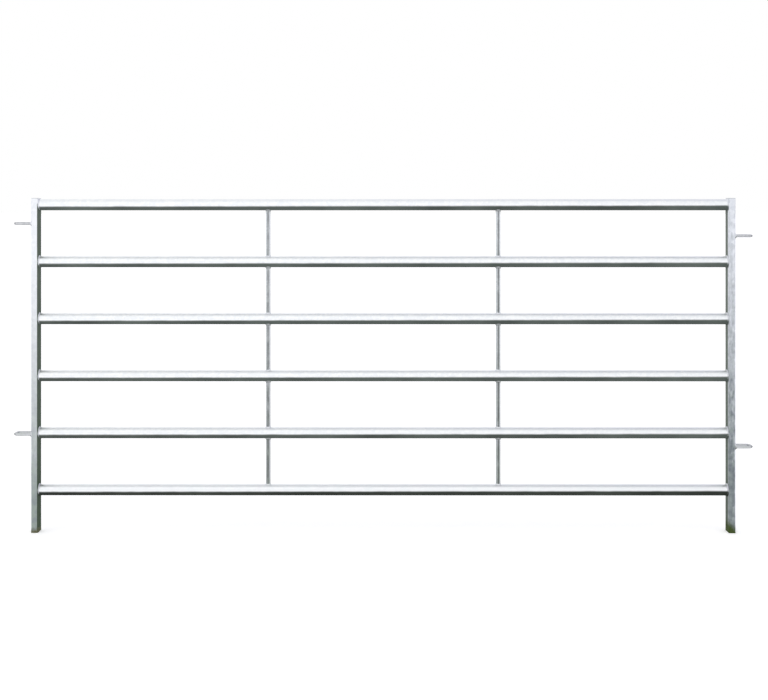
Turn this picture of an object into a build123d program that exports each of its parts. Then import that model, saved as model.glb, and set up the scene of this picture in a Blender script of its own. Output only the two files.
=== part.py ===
from build123d import *
import os

# Cattle hurdle: six round tube rails between two box-section end posts, braced by short round-bar
# stays, with U-shaped linking loops on both posts. Every joint is welded, and nothing moves.
# Millimetres. The origin is on the ground under the middle of the hurdle, +X runs along its length,
# +Y through its thickness with the front facing -Y, and +Z is up.

# Overall size
overall_length = 3050.0  # over the outer faces of the two end posts
overall_height = 1450.0  # ground to the top of the post caps

# End posts, rectangular hollow section, open at the foot
post_width = 30.0  # along X, the face that shows from the front
post_depth = 60.0  # along Y, so that a rail's end sits on the flat between the rounded corners
post_wall = 3.0
post_corner = 5.0  # outside corner radius
least_bore_corner = 0.5
cap_thickness = 3.0
vent_side = 14.0  # square cut-out that lets air and zinc pass from a rail's bore into the post

# Rails, round tube
rail_count = 6
rail_diameter = 48.3
rail_wall = 2.0
crown_drop = 2.0  # from the top of the post tube down to the crown of the top rail
ground_clearance = 157.0  # under the bottom rail

# Stays, solid round bar between neighbouring rails
stay_diameter = 20.0
stay_spacing = 1000.0  # between the two columns of stays

# Linking loops, round bar bent to a square-cornered U, as wide as the post is deep
loop_bar = 12.0
loop_reach = 78.0  # from the post's outer face to the tip of the loop
loop_bend = 16.0  # bend radius at the middle of the bar
upper_loop_drop = 110.0  # from the top of the hurdle to the left upper loop
lower_loop_height = 426.0  # from the ground to the left lower loop
loop_stagger = 54.0  # how far the right loops sit below the left ones

# Fillets of weld above and below each end of a loop
weld_leg = 4.0
weld_width = 8.0
weld_toe = 0.5  # thickness of a fillet's thin end on the bar

# Places that follow from the sizes
post_height = overall_height - cap_thickness
post_offset = (overall_length - post_width) / 2
inner_face = post_offset - post_width / 2
outer_face = overall_length / 2
rail_radius = rail_diameter / 2
stay_radius = stay_diameter / 2
loop_radius = loop_bar / 2
top_rail_height = post_height - crown_drop - rail_radius
bottom_rail_height = ground_clearance + rail_radius
rail_pitch = (top_rail_height - bottom_rail_height) / (rail_count - 1)
rail_heights = [top_rail_height - index * rail_pitch for index in range(rail_count)]
side_signs = {"left": -1, "right": 1}
loop_levels = {"upper": overall_height - upper_loop_drop, "lower": lower_loop_height}
side_drops = {"left": 0.0, "right": loop_stagger}


def along_x(shape, x, z):
    """Lays a shape made about the Z axis along X, through a point of the middle plane."""
    return Pos(x, 0, z) * Rot(0, 90, 0) * shape


def post_form(height):
    """Outer form of a post section standing on the origin, without its bore."""
    return extrude(RectangleRounded(post_width, post_depth, post_corner), height)


def place_post(shape, sign):
    """Moves a shape made about the origin to the left or right end post."""
    return Pos(sign * post_offset, 0, 0) * shape


post_forms = {side: place_post(post_form(post_height), sign) for side, sign in side_signs.items()}


def make_post(side):
    """End post with its open bore and one vent into each rail."""
    bore_corner = max(post_corner - post_wall, least_bore_corner)
    bore_outline = RectangleRounded(post_width - 2 * post_wall, post_depth - 2 * post_wall, bore_corner)
    sign = side_signs[side]
    post = post_forms[side] - place_post(extrude(bore_outline, post_height), sign)
    vent = Box(2 * post_wall, vent_side, vent_side)
    wall_middle = sign * (inner_face + post_wall / 2)
    return post - [Pos(wall_middle, 0, height) * vent for height in rail_heights]


def make_cap(side):
    """Plate that closes the top of a post."""
    return Pos(0, 0, post_height) * place_post(post_form(cap_thickness), side_signs[side])


def make_rail(height):
    """Rail tube, cut at both ends to the form of the posts."""
    wall = Circle(rail_radius) - Circle(rail_radius - rail_wall)
    tube = along_x(extrude(wall, inner_face + post_corner, both=True), 0, height)
    return tube - list(post_forms.values())


def rail_form(x, height):
    """Short solid length of a rail, used to cut what sits on it at x."""
    return along_x(Cylinder(rail_radius, 4 * stay_diameter), x, height)


def make_stay(x, upper, lower):
    """Stay between two rails, with a saddle cut at each end."""
    bar = Pos(x, 0, (upper + lower) / 2) * Cylinder(stay_radius, upper - lower)
    return bar - [rail_form(x, upper), rail_form(x, lower)]


def place_loop(shape, side, level):
    """Moves a shape made for a post face at x = 0, with the loop towards +X, to its post and level."""
    sign = side_signs[side]
    if sign < 0:
        shape = mirror(shape, Plane.YZ)
    return Pos(sign * outer_face, 0, loop_levels[level] - side_drops[side]) * shape


def make_loop_bar():
    """Bent bar of a linking loop, with its two ends on a post face at x = 0."""
    leg_offset = post_depth / 2 - loop_radius
    tip = loop_reach - loop_radius
    corners = [(0, -leg_offset), (tip, -leg_offset), (tip, leg_offset), (0, leg_offset)]
    path = FilletPolyline(*corners, radius=loop_bend)
    return sweep(Plane(origin=path @ 0, z_dir=path % 0) * Circle(loop_radius), path)


def make_loops(side):
    """The two loops of one post, as separate solids."""
    bar = make_loop_bar()
    return Compound(children=[place_loop(bar, side, level) for level in loop_levels])


def make_loop_fillets():
    """The four fillets of weld on the ends of a loop, shaped to the round of its bar."""
    crown = loop_radius + weld_toe
    profile = Polyline((0, 0), (0, loop_radius + weld_leg), (weld_leg, crown), (weld_leg, 0), close=True)
    block = extrude(Plane.XZ * make_face(profile), weld_width / 2, both=True)
    upper = Pos(0, post_depth / 2 - loop_radius, 0) * block - make_loop_bar()
    pair = [upper, mirror(upper, Plane.XY)]
    return pair + [mirror(fillet, Plane.XZ) for fillet in pair]


def make_loop_welds(side):
    """All the fillets of the two loops on one post."""
    fillets = make_loop_fillets()
    return Compound(children=[place_loop(item, side, level) for level in loop_levels for item in fillets])


nodes = {}
for side, sign in side_signs.items():
    nodes[f"{side}_post"] = make_post(side)
    nodes[f"{side}_post_cap"] = make_cap(side)
    stay_x = sign * stay_spacing / 2
    for gap, (upper, lower) in enumerate(zip(rail_heights, rail_heights[1:]), start=1):
        nodes[f"{side}_stay_{gap}"] = make_stay(stay_x, upper, lower)
    nodes[f"{side}_loops"] = make_loops(side)
    nodes[f"{side}_loop_welds"] = make_loop_welds(side)
for number, height in enumerate(rail_heights, start=1):
    nodes[f"rail_{number}"] = make_rail(height)

os.makedirs("parts", exist_ok=True)
for name, shape in nodes.items():
    export_step(shape, f"parts/{name}.step")
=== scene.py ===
"""Looks of a welded cattle hurdle: galvanised rails, end posts, stays, linking loops and their weld beads."""

import logging
import math
import random
from dataclasses import dataclass, replace
from enum import Enum
from typing import Any, Callable, Iterable, Optional, Union

import bmesh
import bpy
from mathutils import Matrix, Vector, noise


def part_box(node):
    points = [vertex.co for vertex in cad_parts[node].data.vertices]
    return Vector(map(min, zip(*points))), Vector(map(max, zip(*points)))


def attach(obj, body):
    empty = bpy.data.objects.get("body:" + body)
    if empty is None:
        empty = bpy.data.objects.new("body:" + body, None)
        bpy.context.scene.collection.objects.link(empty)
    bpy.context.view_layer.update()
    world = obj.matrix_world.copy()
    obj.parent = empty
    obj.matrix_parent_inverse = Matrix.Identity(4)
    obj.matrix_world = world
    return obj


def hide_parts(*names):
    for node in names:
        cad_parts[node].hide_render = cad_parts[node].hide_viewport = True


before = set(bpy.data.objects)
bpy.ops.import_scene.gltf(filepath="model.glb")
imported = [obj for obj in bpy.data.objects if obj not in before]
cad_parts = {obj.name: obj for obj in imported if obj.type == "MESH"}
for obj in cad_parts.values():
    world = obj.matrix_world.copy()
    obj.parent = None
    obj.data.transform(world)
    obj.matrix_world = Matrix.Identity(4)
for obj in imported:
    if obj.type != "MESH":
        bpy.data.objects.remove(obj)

LOG = logging.getLogger("cattle_hurdle")
BODY = "root"
MM = 0.001
MERGE_DISTANCE = 0.001 * MM
SHARP_ANGLE = math.radians(40.0)
SOFT_SEGMENTS = 3
# Edges within this height of a piece's end are its rim.
RIM_REACH = 0.5 * MM
# Profile of a bevel that is rounded to an arc.
ROUND_PROFILE = 0.5
# Half the side of a grid of unit size.
GRID_HALF = 0.5
# Values that a noise texture seldom leaves.
NOISE_RANGE = (0.2, 0.8)
# Octaves of noise in a soft, a ragged and a fine pattern.
SOFT_DETAIL, RAGGED_DETAIL, FINE_DETAIL = 2.0, 3.0, 4.0
# Inputs of a Mix node, two for numbers and two for colours, and its output for colours.
MIX_LOW, MIX_HIGH, MIX_UNDER, MIX_OVER, MIX_RESULT = 2, 3, 6, 7, 2

Pair = tuple[float, float]
Triple = tuple[float, float, float]
Colour = tuple[float, float, float, float]
Corner = tuple[Vector, Vector, Vector]
Mesh = bmesh.types.BMesh
Material = bpy.types.Material
Socket = bpy.types.NodeSocket
Outputs = bpy.types.NodeOutputs
SocketValue = Union[Socket, float, tuple]
Inputs = Union[dict[Union[str, int], SocketValue], tuple[SocketValue, ...]]


class Side(Enum):
    """End of the hurdle, as the sign of its X."""

    LEFT = -1
    RIGHT = 1

    @property
    def label(self) -> str:
        """Name of the end as the nodes spell it."""
        return self.name.lower()


class Level(Enum):
    """Place of a linking loop on its post."""

    UPPER = "upper"
    LOWER = "lower"


class Slot(Enum):
    """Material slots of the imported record."""

    BOX_SECTION = "box_section"
    RAIL_TUBE = "rail_tube"
    ROUND_BAR = "round_bar"
    WELD_METAL = "weld_metal"


def srgb(code: str) -> Colour:
    """Turns an sRGB hex colour into linear light.

    Args:
        code: Six hex digits, such as "c8ccd0".

    Returns:
        Linear red, green, blue and an alpha of one.
    """
    channels = [int(code[start:start + 2], 16) / 255 for start in (0, 2, 4)]
    linear = [c / 12.92 if c <= 0.04045 else ((c + 0.055) / 1.055) ** 2.4 for c in channels]
    return (*linear, 1.0)


class Nodes:
    """Emptied node tree of a material or a world."""

    def __init__(self, owner: Union[Material, bpy.types.World]) -> None:
        """Switches the nodes on and clears them.

        Args:
            owner: The material or world.
        """
        owner.use_nodes = True
        self.tree: bpy.types.NodeTree = owner.node_tree
        self.tree.nodes.clear()

    def add(self, kind: str, inputs: Inputs, **settings: Any) -> Outputs:
        """Adds a node with its settings, and links or fills its inputs.

        Args:
            kind: Blender's name for the type of node, after ShaderNode.
            inputs: Sockets to link or values to set, in the order of the node's inputs or by their names or indices.
            **settings: Properties of the node itself.

        Returns:
            The outputs of the new node.
        """
        node = self.tree.nodes.new(f"ShaderNode{kind}")
        for name, value in settings.items():
            setattr(node, name, value)
        for key, value in inputs.items() if isinstance(inputs, dict) else enumerate(inputs):
            if isinstance(value, Socket):
                self.tree.links.new(value, node.inputs[key])
            else:
                node.inputs[key].default_value = value
        return node.outputs


class SurfaceNodes(Nodes):
    """Nodes of a finish, with the values that its layers share.

    Place is a point in object coordinates and spot its X, Y and Z. Normal is X, Y and Z of the way that a face looks,
    also in object space. Outward is how far the face looks away from the hurdle's middle, one straight out and minus
    one straight in, and across is how far it looks to the front or the back, from zero to one.
    """

    def __init__(self, owner: Material) -> None:
        """Adds the nodes of the shared values.

        Args:
            owner: The material.
        """
        super().__init__(owner)
        coords = self.add("TexCoord", ())
        self.place: Socket = coords["Object"]
        self.spot: Outputs = self.add("SeparateXYZ", (self.place,))
        self.normal: Outputs = self.add("SeparateXYZ", (coords["Normal"],))
        end = self.add("Math", (self.spot["X"],), operation="SIGN")[0]
        self.outward: Socket = self.add("Math", (self.normal["X"], end), operation="MULTIPLY")[0]
        self.across: Socket = self.add("Math", (self.normal["Y"],), operation="ABSOLUTE")[0]


@dataclass(frozen=True)
class Stain:
    """Dull layer that is full near the ground and has gone at some height, partly dirt and weathering and, on the
    posts, partly a painted reflection of the ground.

    It runs between two hues in patches. Along the round corners that look outwards from the hurdle, a share of it is
    taken away in a ragged line, which leaves a painted highlight there. Where lean is set, the layer falls by that
    slope away from the hurdle's middle, and has its own height at lean_from.
    """

    colour: str
    tinge: str
    full: float
    gone: float
    wander: float
    grain: Triple = (20 * MM, 20 * MM, 90 * MM)
    patch: float = 45 * MM
    patch_edge: Pair = (0.35, 0.65)
    worn: float = 0.0
    worn_reach: float = 1.4
    worn_edge: Pair = (0.62, 1.15)
    lean: float = 0.0
    lean_from: float = 1.51

    def share(self, nodes: SurfaceNodes) -> Socket:
        """Share of the layer, with an edge that wanders up and down.

        Args:
            nodes: Nodes of the material.

        Returns:
            Share from zero to one.
        """
        reach = nodes.add("Math", (nodes.spot["X"],), operation="ABSOLUTE")[0]
        past = nodes.add("Math", (reach, self.lean_from), operation="SUBTRACT")[0]
        height = nodes.add("Math", (past, self.lean, nodes.spot["Z"]), operation="MULTIPLY_ADD")[0]
        drawn = nodes.add("Mapping", {"Vector": nodes.place, "Scale": tuple(1 / size for size in self.grain)})[0]
        ragged = nodes.add("TexNoise", {"Vector": drawn, "Scale": 1.0, "Detail": RAGGED_DETAIL})[0]
        moved = nodes.add("MapRange", (ragged, *NOISE_RANGE, -self.wander, self.wander))[0]
        edge = nodes.add("Math", (height, moved), operation="ADD")[0]
        share = nodes.add("MapRange", (edge, self.gone, self.full))[0]
        if not self.worn:
            return share
        # Taking the layer away on the outward corners paints a highlight there.
        corner = nodes.add("Math", (nodes.outward, nodes.across), operation="MULTIPLY")[0]
        frayed = nodes.add("Math", (corner, self.worn_reach, ragged), operation="MULTIPLY_ADD")[0]
        kept = nodes.add("MapRange", (frayed, *self.worn_edge, 1.0, 1.0 - self.worn))[0]
        return nodes.add("Math", (share, kept), operation="MULTIPLY")[0]

    def tone(self, nodes: SurfaceNodes) -> Socket:
        """Colour of the layer, in soft patches of its two hues.

        Args:
            nodes: Nodes of the material.

        Returns:
            The colour.
        """
        pattern = {"Vector": nodes.place, "Scale": 1 / self.patch, "Detail": SOFT_DETAIL}
        share = nodes.add("MapRange", (nodes.add("TexNoise", pattern)[0], *self.patch_edge))[0]
        hues = {"Factor": share, MIX_UNDER: srgb(self.colour), MIX_OVER: srgb(self.tinge)}
        return nodes.add("Mix", hues, data_type="RGBA")[MIX_RESULT]


@dataclass(frozen=True)
class Film:
    """Dark matt layer of painted shade on some faces.

    It lies on undersides. Where sides is one, it also lies on the faces that look towards the hurdle's middle, or
    away from it at minus one, and where fronts is one, on those that look to the front and the back. Its edge is
    given by how far a face turns that way, and slant is how much further the painted shade reaches for each metre
    along X, Y and Z. Where its front limit is set, the painted shade starts at that distance from the middle plane,
    and where its top limit is set, it has gone above that height. Its colour rises from low to high, under clouds
    that change its depth by up to cloud.
    """

    low: str
    high: str
    edge: Pair
    sides: float = 0.0
    fronts: float = 0.0
    slant: Triple = (0.0, 0.0, 0.0)
    rise: Pair = (0.0, 1.45)
    rubbed: Optional[float] = None
    washed: Optional[float] = None
    blur: float = 4 * MM
    wander: float = 0.05
    wander_size: float = 60 * MM
    cloud: float = 0.25
    cloud_size: float = 300 * MM

    def share(self, nodes: SurfaceNodes) -> Socket:
        """Share of the painted shade.

        Args:
            nodes: Nodes of the material.

        Returns:
            Share from zero to one.
        """
        turned = nodes.normal["Z"]
        for way, weight in ((nodes.outward, self.sides), (nodes.across, -self.fronts)):
            level = nodes.add("Math", (way, weight, 1.0 - abs(weight)), operation="MULTIPLY_ADD")[0]
            turned = nodes.add("Math", (turned, level), operation="MINIMUM")[0]
        waves = nodes.add("TexNoise", {"Vector": nodes.place, "Scale": 1 / self.wander_size})[0]
        moved = nodes.add("MapRange", (waves, 0.0, 1.0, -self.wander, self.wander))[0]
        ragged = nodes.add("Math", (turned, moved), operation="ADD")[0]
        further = nodes.add("VectorMath", (nodes.place, self.slant), operation="DOT_PRODUCT")["Value"]
        shade_level = nodes.add("Math", (ragged, further), operation="SUBTRACT")[0]
        limits = [(shade_level, *self.edge)]
        if self.rubbed is not None:
            limits.append((nodes.spot["Y"], self.rubbed - self.blur, self.rubbed + self.blur))
        if self.washed is not None:
            limits.append((nodes.spot["Z"], self.washed + self.blur, self.washed - self.blur))
        share: SocketValue = 1.0
        for limit in limits:
            part = nodes.add("MapRange", limit, interpolation_type="SMOOTHSTEP")[0]
            share = nodes.add("Math", (share, part), operation="MULTIPLY")[0]
        return share

    def colour(self, nodes: SurfaceNodes) -> Socket:
        """Colour of the painted shade, which is darker near the ground and cloudy.

        Args:
            nodes: Nodes of the material.

        Returns:
            The colour.
        """
        share = nodes.add("MapRange", (nodes.spot["Z"], *self.rise))[0]
        hues = {"Factor": share, MIX_UNDER: srgb(self.low), MIX_OVER: srgb(self.high)}
        tone = nodes.add("Mix", hues, data_type="RGBA")[MIX_RESULT]
        pattern = {"Vector": nodes.place, "Scale": 1 / self.cloud_size, "Detail": RAGGED_DETAIL}
        clouds = nodes.add("TexNoise", pattern)[0]
        depth = nodes.add("MapRange", (clouds, *NOISE_RANGE, 1.0 - self.cloud, 1.0 + self.cloud))[0]
        return nodes.add("VectorMath", {0: tone, "Scale": depth}, operation="SCALE")[0]


@dataclass(frozen=True)
class Galvanised:
    """Hot-dip galvanised steel: a bright zinc skin that froze into spangles, with painted shade on some faces.

    Spangle is the size of a zinc crystal, wave that of the skin's unevenness, and lustre how metallic the skin is.
    """

    name: str
    clean: str
    dull: str
    film: Film
    stain: Stain
    soil: Stain
    spangle: float
    grain: Triple
    roughness: Pair
    unevenness: float
    # The real skin is uneven over 2 mm or 3 mm, which is drawn coarser so that it shows.
    wave: float = 9 * MM
    mottle_edge: Pair = (0.45, 1.35)
    lustre: float = 1.0
    matt_roughness: float = 0.85
    matt_specular: float = 0.15

    def material(self) -> Material:
        """Builds the node material of this finish.

        Returns:
            The new material.
        """
        made = bpy.data.materials.new(self.name)
        nodes = SurfaceNodes(made)
        mottle, film, soil = self._mottle(nodes), self.film.share(nodes), self.soil.share(nodes)
        colour: SocketValue = srgb(self.clean)
        # Layers over the clean zinc: spangles, a stain that is partly painted reflection and painted highlight,
        # painted shade, and soil.
        for share, layer in (
            (mottle, srgb(self.dull)),
            (self.stain.share(nodes), self.stain.tone(nodes)),
            (film, self.film.colour(nodes)),
            (soil, self.soil.tone(nodes)),
        ):
            layers = {"Factor": share, MIX_UNDER: colour, MIX_OVER: layer}
            colour = nodes.add("Mix", layers, data_type="RGBA")[MIX_RESULT]
        matt = nodes.add("Math", (film, soil), operation="MAXIMUM")[0]
        metal = nodes.add("Math", (self.lustre, matt), operation="SUBTRACT", use_clamp=True)[0]
        sheen = nodes.add("MapRange", (mottle, 0.0, 1.0, *self.roughness))[0]
        levels = {"Factor": matt, MIX_LOW: sheen, MIX_HIGH: self.matt_roughness}
        shader = nodes.add(
            "BsdfPrincipled",
            {
                "Base Color": colour,
                "Metallic": metal,
                "Roughness": nodes.add("Mix", levels, data_type="FLOAT")[0],
                "Specular IOR Level": self.matt_specular,
                "Normal": self._skin(nodes),
            },
        )[0]
        nodes.add("OutputMaterial", (shader,))
        return made

    def _mottle(self, nodes: SurfaceNodes) -> Socket:
        """Spangles of random tone under slow clouds, which are drawn out along the grain.

        Args:
            nodes: Nodes of the material.

        Returns:
            Dullness from zero to one.
        """
        crystals = nodes.add("TexVoronoi", {"Vector": nodes.place, "Scale": 1 / self.spangle})["Color"]
        tone = nodes.add("SeparateColor", (crystals,))[0]
        drawn = nodes.add("Mapping", {"Vector": nodes.place, "Scale": tuple(1 / size for size in self.grain)})[0]
        clouds = nodes.add("TexNoise", {"Vector": drawn, "Scale": 1.0, "Detail": FINE_DETAIL})[0]
        both = nodes.add("Math", (tone, clouds), operation="ADD")[0]
        return nodes.add("MapRange", (both, *self.mottle_edge))[0]

    def _skin(self, nodes: SurfaceNodes) -> Socket:
        """Slight unevenness of the zinc skin.

        Args:
            nodes: Nodes of the material.

        Returns:
            The bumped normal.
        """
        pattern = {"Vector": nodes.place, "Scale": 1 / self.wave, "Detail": RAGGED_DETAIL}
        waves = nodes.add("TexNoise", pattern)[0]
        return nodes.add("Bump", {"Height": waves, "Distance": self.unevenness})[0]


# Soil that stays under the ground, so that none shows.
NO_SOIL = Stain(colour="3d4a2a", tinge="3d4a2a", full=-2.0, gone=-1.0, wander=0.0)
# Size of the rags along the upper edge of the soil on the posts' feet.
FOOT_GRAIN = (8 * MM, 8 * MM, 8 * MM)

# Left post: bright zinc that still mirrors the sky at the top, and greys towards the ground with faint flecks; the
# grey is partly weathering and partly a painted reflection of the ground. Its inner faces and undersides carry
# painted shade, and its outward corners a faint painted highlight.
LEFT_POST_ZINC = Galvanised(
    name="left_post_galvanised_box_section",
    clean="f1f3f7",
    dull="e9ecf1",
    film=Film(low="41513f", high="5f6a60", edge=(-0.22, -0.52), sides=1.0, washed=1.425, wander=0.03),
    stain=Stain(colour="8a9294", tinge="95a09a", full=0.12, gone=1.2, wander=0.06, patch=25 * MM, worn=0.4),
    soil=Stain(colour="76745a", tinge="5c5f44", full=2 * MM, gone=24 * MM, wander=10 * MM, grain=FOOT_GRAIN),
    spangle=14 * MM,
    grain=(25 * MM, 25 * MM, 170 * MM),
    roughness=(0.32, 0.44),
    unevenness=0.06 * MM,
)
# Right post: the same section after more weather, in flecks of lighter and darker grey, with green soil on its foot;
# it is darker all over, partly from weathering and partly as painted shade. The painted shade on its inner faces
# stops short of the front, and its outward corners carry a stronger painted highlight.
RIGHT_POST_ZINC = replace(
    LEFT_POST_ZINC,
    name="right_post_weathered_box_section",
    clean="e4e7ed",
    dull="d6dae1",
    film=Film(
        low="5f6a5e", high="788079", edge=(-0.62, -0.9), sides=1.0, rubbed=-13 * MM, washed=1.425, wander=0.03
    ),
    stain=Stain(
        colour="70777c",
        tinge="899291",
        full=0.36,
        gone=1.42,
        wander=0.32,
        grain=(11 * MM, 11 * MM, 26 * MM),
        patch=20 * MM,
        worn=0.9,
    ),
    soil=Stain(
        colour="4b5a31", tinge="2f4012", full=14 * MM, gone=46 * MM, wander=9 * MM, grain=FOOT_GRAIN, lean=0.9
    ),
)
# Caps: cut plate, a shade duller than the post, so that its edge draws a thin line across the post's top. The right
# cap is darker, partly painted shade like its post, and both carry painted shade on their undersides.
CAP_UNDERSIDE_SHADE = Film(low="5a655c", high="5a655c", edge=(-0.8, -0.98))
LEFT_CAP_ZINC = replace(
    LEFT_POST_ZINC, name="left_cap_galvanised_plate", clean="dadde1", dull="cfd2d7", film=CAP_UNDERSIDE_SHADE
)
RIGHT_CAP_ZINC = replace(
    RIGHT_POST_ZINC, name="right_cap_weathered_plate", clean="cbced3", dull="bfc2c8", film=CAP_UNDERSIDE_SHADE
)
# Rails: drawn tube, the brightest zinc of all, with painted shade on the underside that makes each rail read as
# round.
# The painted shade reaches a little further up the tube towards the ground and the right end.
RAIL_ZINC = Galvanised(
    name="rail_bright_galvanised_tube",
    clean="f8fafb",
    dull="f0f3f6",
    film=Film(
        low="383d37", high="5a625d", edge=(0.12, -0.24), slant=(0.07, 0.0, -0.125), rise=(0.17, 0.43), cloud=0.5
    ),
    stain=Stain(colour="f2f3f6", tinge="eff3f5", full=0.0, gone=0.6, wander=0.1),
    soil=NO_SOIL,
    spangle=10 * MM,
    grain=(200 * MM, 25 * MM, 25 * MM),
    roughness=(0.38, 0.50),
    unevenness=0.06 * MM,
)
# Stays: rolled bar with a dark streak of painted shade down its front and back, so each one reads as a thin upright
# line.
# Their crystals are 2 mm across in life, and drawn coarser so that they show.
STAY_ZINC = Galvanised(
    name="stay_streaked_galvanised_bar",
    clean="e0e3e7",
    dull="d0d4d8",
    film=Film(low="5e645e", high="8f9396", edge=(-0.91, -1.0), fronts=1.0, wander=0.08, wander_size=35 * MM),
    stain=Stain(colour="a9acb0", tinge="a4aba6", full=0.1, gone=1.45, wander=0.08),
    soil=NO_SOIL,
    spangle=6 * MM,
    grain=(17 * MM, 17 * MM, 80 * MM),
    roughness=(0.40, 0.54),
    unevenness=0.06 * MM,
)
# Loops: the same rolled bar, satin where hands and pins slide on it, with dark painted shade round the tips and on
# the undersides.
LOOP_ZINC = replace(
    STAY_ZINC,
    name="loop_satin_galvanised_bar",
    clean="d2d3d6",
    dull="bcbec2",
    film=Film(low="66686b", high="8f9194", edge=(-0.3, -0.95), sides=-1.0, wander=0.15, wander_size=25 * MM),
    stain=Stain(colour="c9cacf", tinge="c4c9c7", full=0.1, gone=1.45, wander=0.08),
    roughness=(0.36, 0.50),
)
# Beads: weld metal takes a thick, frosted coat of zinc, paler and less metallic than the rails', with the rails'
# painted shade underneath.
# The frost is finer than 1 mm in life, and drawn coarser so that it shows.
WELD_ZINC = Galvanised(
    name="bead_galvanised_weld_metal",
    clean="eff1f6",
    dull="d9dbe3",
    film=RAIL_ZINC.film,
    stain=Stain(colour="cbccd5", tinge="c6cbcb", full=0.1, gone=1.45, wander=0.08),
    soil=NO_SOIL,
    spangle=4 * MM,
    grain=(11 * MM, 11 * MM, 11 * MM),
    roughness=(0.36, 0.52),
    unevenness=0.08 * MM,
    lustre=0.45,
)
# The stays' beads are greyer underneath: painted shade, a painted shadow where they hang under a rail.
STAY_WELD_ZINC = replace(
    WELD_ZINC,
    name="stay_bead_galvanised_weld_metal",
    film=Film(low="585e5a", high="747a76", edge=(0.0, -0.5)),
    stain=Stain(colour="e0e2e6", tinge="dde2e1", full=0.1, gone=1.45, wander=0.08),
)


def to_data(mesh: Mesh, name: str) -> bpy.types.Mesh:
    """Turns a mesh that is being made into mesh data, and frees it.

    Args:
        mesh: Geometry in place, in metres.
        name: Name of the data.

    Returns:
        The mesh data.
    """
    data = bpy.data.meshes.new(name)
    mesh.to_mesh(data)
    mesh.free()
    return data


def add_object(name: str, data: bpy.types.ID) -> bpy.types.Object:
    """Puts a new object in the scene.

    Args:
        name: Name of the object.
        data: Its mesh, lamp or camera data.

    Returns:
        The object, at the origin.
    """
    made = bpy.data.objects.new(name, data)
    bpy.context.scene.collection.objects.link(made)
    return made


def verts_of(items: Iterable[Any]) -> list[bmesh.types.BMVert]:
    """Picks the vertices out of a mix of mesh elements."""
    return [item for item in items if isinstance(item, bmesh.types.BMVert)]


def finish_piece(mesh: Mesh, name: str, material: Material, replaced: Iterable[str] = ()) -> None:
    """Turns a mesh into a shaded piece that rides on the hurdle.

    Args:
        mesh: Geometry in place, in metres. It is freed here.
        name: Name of the new piece.
        material: Finish of the piece.
        replaced: Nodes of the frame that the piece stands for.
    """
    bmesh.ops.recalc_face_normals(mesh, faces=mesh.faces[:])
    for face in mesh.faces:
        face.smooth = True
    data = to_data(mesh, name)
    data.set_sharp_from_angle(angle=SHARP_ANGLE)
    data.materials.append(material)
    piece = add_object(name, data)
    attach(piece, BODY)
    nodes = list(replaced)
    if nodes:
        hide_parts(*nodes)
    LOG.info("%s: %d faces, stands for %s", name, len(data.polygons), ", ".join(nodes) or "no node")


def soften_rims(mesh: Mesh, width: float, chosen: Callable[[bmesh.types.BMEdge], bool]) -> None:
    """Rounds off the sharp edges that a test picks.

    Args:
        mesh: Geometry to change.
        width: Width of the rounding, in metres.
        chosen: Test of one edge.
    """
    sharp = [edge for edge in mesh.edges if edge.is_manifold and edge.calc_face_angle() > SHARP_ANGLE]
    bmesh.ops.bevel(
        mesh,
        geom=[edge for edge in sharp if chosen(edge)],
        offset=width,
        affect="EDGES",
        segments=SOFT_SEGMENTS,
        profile=ROUND_PROFILE,
    )


def extrude_hollow(mesh: Mesh, wall: float, along: Vector) -> None:
    """Turns the one face of a mesh into a hollow section with closed ends of its wall.

    Args:
        mesh: Mesh that holds a single flat outline.
        wall: Thickness of the wall, in metres.
        along: Length and direction of the section.
    """
    mesh.faces.ensure_lookup_table()
    bore = mesh.faces[0]
    ring = bmesh.ops.inset_region(mesh, faces=[bore], thickness=wall, use_even_offset=True, use_boundary=True)
    bmesh.ops.delete(mesh, geom=[bore], context="FACES_ONLY")
    grown = bmesh.ops.extrude_face_region(mesh, geom=ring["faces"])
    bmesh.ops.translate(mesh, verts=verts_of(grown["geom"]), vec=along)


def run_on(mesh: Mesh, edges: Iterable[bmesh.types.BMEdge], along: Vector) -> list[Any]:
    """Draws the open end of a bar out in a straight line.

    Args:
        mesh: Geometry to change.
        edges: Edges of the open end.
        along: Length and direction of the run.

    Returns:
        Vertices and edges of the new open end.
    """
    grown = bmesh.ops.extrude_edge_only(mesh, edges=list(edges))["geom"]
    ring = [item for item in grown if not isinstance(item, bmesh.types.BMFace)]
    bmesh.ops.translate(mesh, verts=verts_of(ring), vec=along)
    return ring


def join(meshes: Iterable[Mesh]) -> Mesh:
    """Puts several meshes into one, and frees them.

    Args:
        meshes: Meshes to put together.

    Returns:
        A new mesh with all their faces.
    """
    whole = bmesh.new()
    for mesh in meshes:
        data = to_data(mesh, "part_of_group")
        whole.from_mesh(data)
        bpy.data.meshes.remove(data)
    return whole


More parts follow.
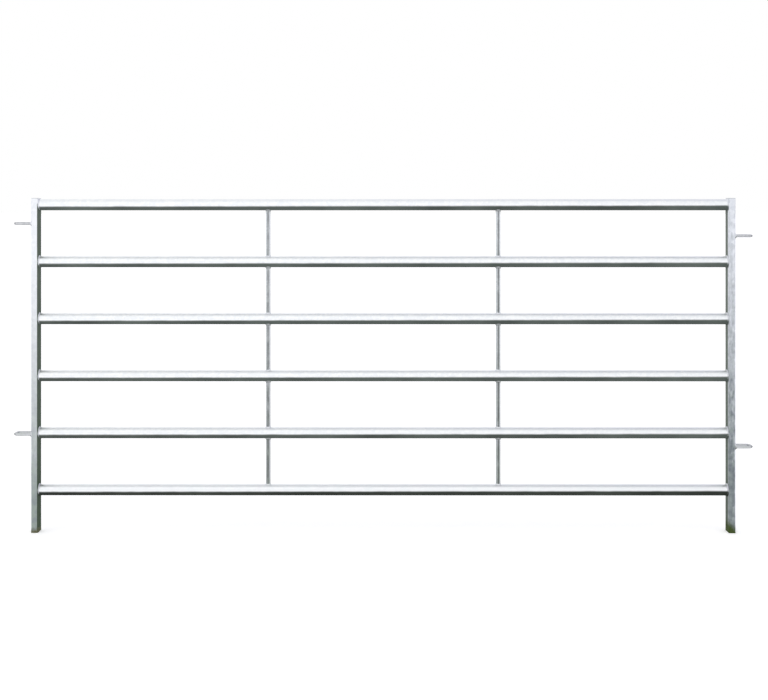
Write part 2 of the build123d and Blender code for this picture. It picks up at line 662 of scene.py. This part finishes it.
@dataclass(frozen=True)
class Layout:
    """Sizes and places that several sub-assemblies share, read from the frame, with the rails from the top down."""

    inner_face: float
    outer_face: float
    half_depth: float
    post_top: float
    rail_radius: float
    rail_heights: tuple[float, ...]
    post_corner: float = 5.0 * MM

    @classmethod
    def read(cls) -> "Layout":
        """Reads the layout from the boxes of the frame's nodes.

        Returns:
            The layout.
        """
        post_low, post_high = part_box("right_post")
        rails = [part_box(name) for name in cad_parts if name.startswith("rail_")]
        rails.sort(key=lambda box: box[0].z, reverse=True)
        return cls(
            inner_face=post_low.x,
            outer_face=post_high.x,
            half_depth=post_high.y,
            post_top=post_high.z,
            rail_radius=(rails[0][1].z - rails[0][0].z) / 2,
            rail_heights=tuple((low.z + high.z) / 2 for low, high in rails),
        )

    def recess(self, y: float) -> float:
        """How far a post's rounded corner has drawn back from its face at a distance from the middle plane."""
        past = min(max(0.0, abs(y) - (self.half_depth - self.post_corner)), self.post_corner)
        return self.post_corner - math.sqrt(self.post_corner**2 - past**2)

    def within(self, y: float, sink: float) -> float:
        """Y, kept under the front and back faces of the posts by a small depth."""
        limit = self.half_depth - sink
        return max(-limit, min(limit, y))

    def saddle(self, y: float) -> float:
        """Height of a rail's surface above its axis at a distance from the middle plane."""
        return math.sqrt(self.rail_radius**2 - y**2)


@dataclass(frozen=True)
class Bead:
    """Rippled fillet weld under its skin of zinc, run once round a bar or tube."""

    leg: float
    swell: float
    ripple: float
    seed: int = 0
    ripple_heights: Pair = (0.75, 1.2)
    valley: float = 0.45
    crown_share: float = 0.8
    across: int = 10
    faces_per_ripple: int = 5
    wander: float = 0.24
    wander_speed: float = 2.0
    near_shift: float = 0.3
    far_shift: float = 5.7
    sink: float = 0.1 * MM
    root_sink: float = 0.5 * MM

    def ripples(self, length: float) -> list[float]:
        """Random heights, around one, of the ripples along a bead of some length in metres."""
        draw = random.Random(self.seed)
        return [draw.uniform(*self.ripple_heights) for _ in range(round(length / self.ripple))]

    def rise(self, heights: list[float], share: float) -> float:
        """Height of the crown at a share of the bead's length, as a factor of its swell."""
        ripple, step = divmod((share % 1.0) * len(heights), 1.0)
        return heights[int(ripple) % len(heights)] * (self.valley + (1 - self.valley) * math.sin(math.pi * step))

    def width(self, angle: float, shift: float) -> float:
        """Wandering length of one leg of the fillet.

        Args:
            angle: Place round the bead.
            shift: Number that sets one leg's wander apart from the other's.

        Returns:
            Length of the leg there, in metres.
        """
        point = Vector((math.cos(angle), math.sin(angle), 0)) * self.wander_speed
        point.z = self.seed + shift
        return self.leg * (1 + self.wander * noise.noise(point))

    def section(self, corner: Corner, share: float, rise: float) -> Vector:
        """Point on the bead's section.

        Args:
            corner: The bead's edge on the first piece, its edge on the second, and its hidden root between them.
            share: Place round the section, from zero to one.
            rise: Factor of the swell.

        Returns:
            The point.
        """
        toe, far_toe, root = corner
        if share < self.crown_share:
            step = share / self.crown_share
            out = ((toe + far_toe) / 2 - root).normalized()
            # A parabola that is one halfway between the toes.
            arch = 4 * step * (1 - step)
            return toe.lerp(far_toe, step) + out * (arch * self.swell * rise)
        step = (share - self.crown_share) / (1 - self.crown_share)
        return far_toe.lerp(root, 2 * step) if step < 0.5 else root.lerp(toe, 2 * step - 1)

    def ring(self, radius: float, corner: Callable[[float], Corner]) -> Mesh:
        """Lays the bead round a closed corner between a bar or tube and what it sits on.

        Args:
            radius: Radius of the bar or tube, in metres.
            corner: Edges and root of the bead at an angle.

        Returns:
            A closed mesh.
        """
        heights = self.ripples(2 * math.pi * (radius + self.leg / 2))
        steps = len(heights) * self.faces_per_ripple
        mesh = bmesh.new()
        bmesh.ops.create_grid(mesh, x_segments=steps, y_segments=self.across, size=GRID_HALF)
        for vert in mesh.verts:
            along, share = round((vert.co.x + GRID_HALF) * steps) / steps, vert.co.y + GRID_HALF
            vert.co = self.section(corner(2 * math.pi * along), share, self.rise(heights, along))
        bmesh.ops.remove_doubles(mesh, verts=mesh.verts[:], dist=MERGE_DISTANCE)
        return mesh


@dataclass(frozen=True)
class EndPost:
    """Box-section post with its cap plate and the welds that hold the rails."""

    side: Side
    layout: Layout
    wall: float = 3.0 * MM
    corner_segments: int = 8
    cut_edge: float = 0.4 * MM
    cap_edge: float = 1.0 * MM
    cap_inset: float = 0.5 * MM
    bead: Bead = Bead(leg=4.0 * MM, swell=0.8 * MM, ripple=4.2 * MM)
    seed_step: int = 10

    def outline(self, low: Vector, high: Vector, inset: float) -> Mesh:
        """Rounded outline of the section at its lowest height.

        Args:
            low: Lowest corner of the piece.
            high: Highest corner of the piece.
            inset: How far the outline keeps inside the box.

        Returns:
            A mesh of one face.
        """
        mesh = bmesh.new()
        bmesh.ops.create_grid(mesh, x_segments=1, y_segments=1, size=GRID_HALF)
        size = high - low
        bmesh.ops.scale(mesh, verts=mesh.verts[:], vec=(size.x - 2 * inset, size.y - 2 * inset, 1.0))
        middle = (low + high) / 2
        bmesh.ops.translate(mesh, verts=mesh.verts[:], vec=(middle.x, middle.y, low.z))
        bmesh.ops.bevel(
            mesh,
            geom=mesh.verts[:],
            offset=self.layout.post_corner - inset,
            affect="VERTICES",
            segments=self.corner_segments,
            profile=ROUND_PROFILE,
        )
        return mesh

    def tube(self) -> Mesh:
        """Hollow post, open at the foot, with its cut edges broken.

        Returns:
            A closed mesh with a bore.
        """
        low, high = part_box(f"{self.side.label}_post")
        mesh = self.outline(low, high, 0.0)
        extrude_hollow(mesh, self.wall, Vector((0, 0, high.z - low.z)))
        soften_rims(mesh, self.cut_edge, lambda edge: max(vert.co.z for vert in edge.verts) < low.z + RIM_REACH)
        return mesh

    def cap(self) -> Mesh:
        """Cap plate with its upper edge dressed round.

        Returns:
            A closed mesh.
        """
        low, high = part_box(f"{self.side.label}_post_cap")
        mesh = self.outline(low, high, self.cap_inset)
        grown = bmesh.ops.extrude_face_region(mesh, geom=mesh.faces[:])
        bmesh.ops.translate(mesh, verts=verts_of(grown["geom"]), vec=(0, 0, high.z - low.z))
        soften_rims(mesh, self.cap_edge, lambda edge: min(vert.co.z for vert in edge.verts) > high.z - RIM_REACH)
        return mesh

    def weld_corner(self, bead: Bead, height: float, angle: float) -> Corner:
        """Edges and root of a rail's bead at an angle, kept on the post's face.

        Args:
            bead: The bead.
            height: Height of the rail's axis, in metres.
            angle: Place round the rail, from its top.

        Returns:
            The edge on the post, the edge on the rail and the root.
        """
        plan, sign = self.layout, self.side.value
        out = Vector((0, math.sin(angle), math.cos(angle)))
        axis = Vector((0, 0, height))
        toe = axis + (plan.rail_radius + bead.width(angle, bead.near_shift)) * out
        toe.y = plan.within(toe.y, bead.sink)
        toe.z = min(toe.z, plan.post_top - bead.sink)
        toe.x = sign * (plan.inner_face + plan.recess(toe.y) + bead.sink)
        far_toe = axis + (plan.rail_radius - bead.sink) * out
        far_toe.x = sign * (plan.inner_face - bead.width(angle, bead.far_shift))
        root = axis + (plan.rail_radius - bead.root_sink) * out
        root.x = sign * (plan.inner_face - bead.sink)
        return toe, far_toe, root

    def weld(self, number: int, height: float) -> Mesh:
        """Bead round the end of the rail of some number, at the height of its axis."""
        bead = replace(self.bead, seed=self.seed_step * number + self.side.value)
        return bead.ring(self.layout.rail_radius, lambda angle: self.weld_corner(bead, height, angle))

    def dress(self, section: Material, plate: Material, weld: Material) -> None:
        """Makes the post's pieces.

        Args:
            section: Finish of the box section.
            plate: Finish of the cap.
            weld: Finish of the beads.
        """
        label = self.side.label
        finish_piece(self.tube(), f"{label}_end_post", section, [f"{label}_post"])
        finish_piece(self.cap(), f"{label}_cap_plate", plate, [f"{label}_post_cap"])
        beads = [self.weld(number, height) for number, height in enumerate(self.layout.rail_heights, start=1)]
        finish_piece(join(beads), f"{label}_rail_welds", weld)


@dataclass(frozen=True)
class RailSet:
    """The round tube rails, cut square to butt on the posts' flat inner faces."""

    layout: Layout
    wall: float = 2.0 * MM
    segments: int = 72

    def tube(self, height: float) -> Mesh:
        """One rail.

        Args:
            height: Height of its axis, in metres.

        Returns:
            A closed tube with a bore.
        """
        plan = self.layout
        mesh = bmesh.new()
        start = Matrix.Translation((-plan.inner_face, 0, height)) @ Matrix.Rotation(math.pi / 2, 4, "Y")
        bmesh.ops.create_circle(mesh, cap_ends=True, segments=self.segments, radius=plan.rail_radius, matrix=start)
        extrude_hollow(mesh, self.wall, Vector((2 * plan.inner_face, 0, 0)))
        return mesh

    def dress(self, material: Material) -> None:
        """Makes all the rails in one finish."""
        for number, height in enumerate(self.layout.rail_heights, start=1):
            finish_piece(self.tube(height), f"rail_tube_{number}", material, [f"rail_{number}"])


@dataclass(frozen=True)
class StayColumn:
    """A column of short round bars, each seated on two rails by saddle cuts and welded there.

    Weld_climb is how many times further a bead runs along the bar than along the rail.
    """

    side: Side
    layout: Layout
    place: float
    radius: float
    segments: int = 40
    bead: Bead = Bead(leg=2.0 * MM, swell=0.6 * MM, ripple=3.4 * MM)
    weld_climb: float = 2.7
    rail_seed_step: int = 100
    turn_seed_step: int = 10

    @classmethod
    def read(cls, side: Side, layout: Layout) -> "StayColumn":
        """Reads the column's place along X and its bars' radius from the frame."""
        low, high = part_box(f"{side.label}_stay_1")
        return cls(side, layout, place=(low.x + high.x) / 2, radius=(high.x - low.x) / 2)

    def bar(self, gap: int) -> Mesh:
        """One stay.

        Args:
            gap: Number of the gap between rails, from the top.

        Returns:
            A closed bar with saddle-cut ends.
        """
        upper, lower = self.layout.rail_heights[gap - 1], self.layout.rail_heights[gap]
        mesh = bmesh.new()
        bmesh.ops.create_cone(
            mesh,
            cap_ends=True,
            segments=self.segments,
            radius1=self.radius,
            radius2=self.radius,
            depth=upper - lower,
            matrix=Matrix.Translation((self.place, 0, (upper + lower) / 2)),
        )
        ends = [face for face in mesh.faces if len(face.verts) == self.segments]
        bmesh.ops.poke(mesh, faces=ends)
        for vert in mesh.verts:
            seat = self.layout.saddle(vert.co.y)
            vert.co.z = upper - seat if vert.co.z > (upper + lower) / 2 else lower + seat
        return mesh

    def weld_corner(self, bead: Bead, rail: int, turn: int, angle: float) -> Corner:
        """Edges and root of a stay's bead at an angle.

        Args:
            bead: The bead.
            rail: Number of the rail that the bead is on, from the top.
            turn: One where the stay stands on the rail, minus one where it hangs.
            angle: Place round the stay.

        Returns:
            The edge on the stay, the edge on the rail and the root.
        """
        plan, height = self.layout, self.layout.rail_heights[rail - 1]
        out = Vector((math.cos(angle), math.sin(angle), 0))
        toe = (self.radius - bead.sink) * out
        toe.z = plan.saddle(toe.y) + self.weld_climb * bead.width(angle, bead.near_shift)
        far_toe = (self.radius + bead.width(angle, bead.far_shift)) * out
        far_toe.z = plan.saddle(far_toe.y) - bead.sink
        root = (self.radius - bead.root_sink) * out
        root.z = plan.saddle(root.y) - bead.root_sink
        points = (toe, far_toe, root)
        return tuple(Vector((self.place + point.x, point.y, height + turn * point.z)) for point in points)

    def weld(self, rail: int, turn: int) -> Mesh:
        """Bead round one end of a stay.

        Args:
            rail: Number of the rail that the bead is on, from the top.
            turn: One where the stay stands on the rail, minus one where it hangs.

        Returns:
            The bead's mesh.
        """
        seed = self.rail_seed_step * rail + self.turn_seed_step * turn + self.side.value
        bead = replace(self.bead, seed=seed)
        return bead.ring(self.radius, lambda angle: self.weld_corner(bead, rail, turn, angle))

    def dress(self, bar: Material, weld: Material) -> None:
        """Makes the column's pieces.

        Args:
            bar: Finish of the stays.
            weld: Finish of the beads.
        """
        label, rails = self.side.label, len(self.layout.rail_heights)
        for gap in range(1, rails):
            finish_piece(self.bar(gap), f"{label}_stay_bar_{gap}", bar, [f"{label}_stay_{gap}"])
        hanging = [self.weld(rail, -1) for rail in range(1, rails)]
        standing = [self.weld(rail, 1) for rail in range(2, rails + 1)]
        finish_piece(join(hanging + standing), f"{label}_stay_welds", weld)


@dataclass(frozen=True)
class LoopPair:
    """The two square-cornered U loops of one post, butted on its outer face and welded round their ends."""

    side: Side
    layout: Layout
    tip: float
    leg: float
    heights: dict[Level, float]
    bar_radius: float = 6.0 * MM
    bend_radius: float = 16.0 * MM
    segments: int = 28
    bend_steps: int = 12
    bead: Bead = Bead(leg=4.5 * MM, swell=0.9 * MM, ripple=3.4 * MM)
    leg_seed_step: int = 7

    @classmethod
    def read(cls, side: Side, layout: Layout) -> "LoopPair":
        """Reads the bar's middle at the tip along X, at a leg across Y, and each loop's height from the frame.

        Args:
            side: End of the hurdle.
            layout: Sizes of the whole hurdle.

        Returns:
            The two loops.
        """
        low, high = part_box(f"{side.label}_loops")
        radius = cls.bar_radius
        heights = {Level.UPPER: high.z - radius, Level.LOWER: low.z + radius}
        return cls(side, layout, max(abs(low.x), abs(high.x)) - radius, high.y - radius, heights)

    def bar(self, height: float) -> Mesh:
        """One bent bar.

        Args:
            height: Height of its middle, in metres.

        Returns:
            A closed bar with both its ends on the post's outer face.
        """
        face, bend = self.layout.outer_face, self.tip - self.bend_radius
        mesh = bmesh.new()
        section = Matrix.Translation((face, -self.leg, height)) @ Matrix.Rotation(math.pi / 2, 4, "Y")
        bmesh.ops.create_circle(mesh, segments=self.segments, radius=self.bar_radius, matrix=section)
        ring = run_on(mesh, mesh.edges[:], Vector((bend - face, 0, 0)))
        pivot = Vector((bend, self.bend_radius - self.leg, height))
        turned = bmesh.ops.spin(
            mesh, geom=ring, cent=pivot, axis=(0, 0, 1), angle=math.pi / 2, steps=self.bend_steps
        )["geom_last"]
        last = [item for item in turned if isinstance(item, bmesh.types.BMEdge)]
        run_on(mesh, last, Vector((0, self.leg - self.bend_radius, 0)))
        whole = mesh.verts[:] + mesh.edges[:] + mesh.faces[:]
        bmesh.ops.mirror(mesh, geom=whole, axis="Y", merge_dist=MERGE_DISTANCE)
        bmesh.ops.remove_doubles(mesh, verts=mesh.verts[:], dist=MERGE_DISTANCE)
        bmesh.ops.holes_fill(mesh, edges=[edge for edge in mesh.edges if edge.is_boundary])
        bmesh.ops.scale(mesh, verts=mesh.verts[:], vec=(self.side.value, 1, 1))
        return mesh

    def weld_corner(self, bead: Bead, height: float, leg_side: int, angle: float) -> Corner:
        """Edges and root of a leg's bead at an angle, run into the post's rounded corner.

        Args:
            bead: The bead.
            height: Height of the leg's middle, in metres.
            leg_side: Sign of the leg's Y.
            angle: Place round the leg, from its top.

        Returns:
            The edge on the post, the edge on the leg and the root.
        """
        plan, sign = self.layout, self.side.value
        out = Vector((0, math.sin(angle), math.cos(angle)))
        axis = Vector((0, leg_side * self.leg, height))
        toe = axis + (self.bar_radius + bead.width(angle, bead.near_shift)) * out
        toe.y = plan.within(toe.y, bead.sink)
        toe.x = sign * (plan.outer_face - plan.recess(toe.y) - bead.sink)
        far_toe = axis + (self.bar_radius - bead.sink) * out
        far_toe.x = sign * (plan.outer_face + bead.width(angle, bead.far_shift))
        root = axis + (self.bar_radius - bead.root_sink) * out
        root.x = sign * (plan.outer_face - plan.recess(root.y) - bead.sink)
        return toe, far_toe, root

    def weld(self, height: float, leg_side: int) -> Mesh:
        """Bead round the end of one leg, dressed flush with the post's face.

        Args:
            height: Height of the leg's middle, in metres.
            leg_side: Sign of the leg's Y.

        Returns:
            The bead's mesh.
        """
        bead = replace(self.bead, seed=round(height / MM) + self.leg_seed_step * leg_side)
        mesh = bead.ring(self.bar_radius, lambda angle: self.weld_corner(bead, height, leg_side, angle))
        for vert in mesh.verts:
            vert.co.y = self.layout.within(vert.co.y, bead.sink)
        return mesh

    def dress(self, bar: Material, weld: Material) -> None:
        """Makes the loops and their welds.

        Args:
            bar: Finish of the bent bars.
            weld: Finish of the beads.
        """
        label = self.side.label
        for level, height in self.heights.items():
            name = f"{label}_{level.value}_linking_loop"
            finish_piece(self.bar(height), name, bar, [f"{label}_loops"])
        beads = [self.weld(height, leg_side) for height in self.heights.values() for leg_side in (-1, 1)]
        finish_piece(join(beads), f"{label}_loop_leg_welds", weld, [f"{label}_loop_welds"])


@dataclass(frozen=True)
class Softbox:
    """Rectangular soft lamp."""

    name: str
    place: Triple
    aim: Triple
    width: float
    height: float
    power: float

    def hang(self) -> None:
        """Puts the lamp in the scene."""
        data = bpy.data.lights.new(self.name, "AREA")
        data.shape = "RECTANGLE"
        data.size, data.size_y = self.width, self.height
        data.energy = self.power
        lamp = add_object(self.name, data)
        lamp.location = self.place
        lamp.rotation_euler = (Vector(self.aim) - Vector(self.place)).to_track_quat("-Z", "Y").to_euler()


@dataclass(frozen=True)
class Studio:
    """Pale floor, white surroundings, a soft lamp and the camera."""

    image_width: float = 768.0
    sensor_width: float = 36.0
    focal_pixels: float = 1270.0
    eye: Triple = (0.013, -5.524, 1.40)
    turn_left: float = 0.0017
    frame_drop: float = -0.1829
    floor_half: float = 400.0
    floor_paint: str = "f7f7f7"
    floor_roughness: float = 0.9
    floor_specular: float = 0.1
    floor_glow: str = "ffffff"
    floor_lift: float = 0.3
    open_side: str = "ffffff"
    shaded_side: str = "d3d3df"
    shade_from: Triple = (0.62, 0.35, 0.70)
    shade_edge: Pair = (0.62, 0.95)
    lamp: Softbox = Softbox(
        name="front_softbox",
        place=(-1.5, -5.0, 4.5),
        aim=(0.0, 0.0, 0.8),
        width=5.0,
        height=2.5,
        power=12.0,
    )

    def camera(self) -> None:
        """Puts a level camera at standing eye height, with its frame lowered onto the hurdle."""
        data = bpy.data.cameras.new("eye_level_camera")
        data.sensor_width = self.sensor_width
        data.lens = self.focal_pixels / self.image_width * self.sensor_width
        data.shift_y = self.frame_drop
        camera = add_object("eye_level_camera", data)
        camera.location = self.eye
        camera.rotation_euler = (math.pi / 2, 0, self.turn_left)
        bpy.context.scene.camera = camera

    def floor(self) -> None:
        """Lays the pale matt floor under the posts."""
        mesh = bmesh.new()
        bmesh.ops.create_grid(mesh, x_segments=1, y_segments=1, size=self.floor_half)
        data = to_data(mesh, "studio_floor")
        data.materials.append(self._paint())
        floor = add_object("studio_floor", data)

    def _paint(self) -> Material:
        """Builds the floor's pale matt paint, lifted to white where it is seen or mirrored.

        Returns:
            The new material.
        """
        paint = bpy.data.materials.new("pale_matt_floor")
        nodes = Nodes(paint)
        shader = nodes.add(
            "BsdfPrincipled",
            {
                "Base Color": srgb(self.floor_paint),
                "Roughness": self.floor_roughness,
                "Specular IOR Level": self.floor_specular,
            },
        )[0]
        rays = nodes.add("LightPath", ())
        seen = rays["Is Camera Ray"]
        for other in ("Is Glossy Ray", "Is Transmission Ray"):
            seen = nodes.add("Math", (seen, rays[other]), operation="MAXIMUM")[0]
        lift = nodes.add("Math", (seen, self.floor_lift), operation="MULTIPLY")[0]
        glow = nodes.add("Emission", {"Color": srgb(self.floor_glow), "Strength": lift})[0]
        both = nodes.add("AddShader", (shader, glow))[0]
        nodes.add("OutputMaterial", (both,))
        return paint

    def surroundings(self) -> None:
        """Makes it white all round, and a little greyer overhead and to the right of the camera."""
        world = bpy.data.worlds.new("studio_surroundings")
        nodes = Nodes(world)
        ray = nodes.add("TexCoord", ())["Generated"]
        lean = nodes.add("VectorMath", (ray, self.shade_from), operation="DOT_PRODUCT")["Value"]
        share = nodes.add("MapRange", (lean, *self.shade_edge))[0]
        sides = {"Factor": share, MIX_UNDER: srgb(self.open_side), MIX_OVER: srgb(self.shaded_side)}
        colour = nodes.add("Mix", sides, data_type="RGBA")[MIX_RESULT]
        backdrop = nodes.add("Background", {"Color": colour})[0]
        nodes.add("OutputWorld", (backdrop,))
        bpy.context.scene.world = world

    def build(self) -> None:
        """Sets up everything round the hurdle."""
        bpy.context.scene.view_settings.view_transform = "Standard"
        self.camera()
        self.floor()
        self.surroundings()
        self.lamp.hang()


def main() -> None:
    """Builds the hurdle's pieces and the studio in order."""
    logging.basicConfig(level=logging.INFO, format="%(name)s: %(message)s")
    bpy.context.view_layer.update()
    layout = Layout.read()
    sections = {Side.LEFT: LEFT_POST_ZINC.material(), Side.RIGHT: RIGHT_POST_ZINC.material()}
    plates = {Side.LEFT: LEFT_CAP_ZINC.material(), Side.RIGHT: RIGHT_CAP_ZINC.material()}
    finishes = (STAY_ZINC, STAY_WELD_ZINC, LOOP_ZINC, WELD_ZINC)
    stay, stay_weld, loop, weld = (finish.material() for finish in finishes)
    RailSet(layout).dress(RAIL_ZINC.material())
    for side in Side:
        EndPost(side, layout).dress(sections[side], plates[side], weld)
        StayColumn.read(side, layout).dress(stay, stay_weld)
        LoopPair.read(side, layout).dress(loop, weld)
    Studio().build()


if __name__ == "__main__":
    main()
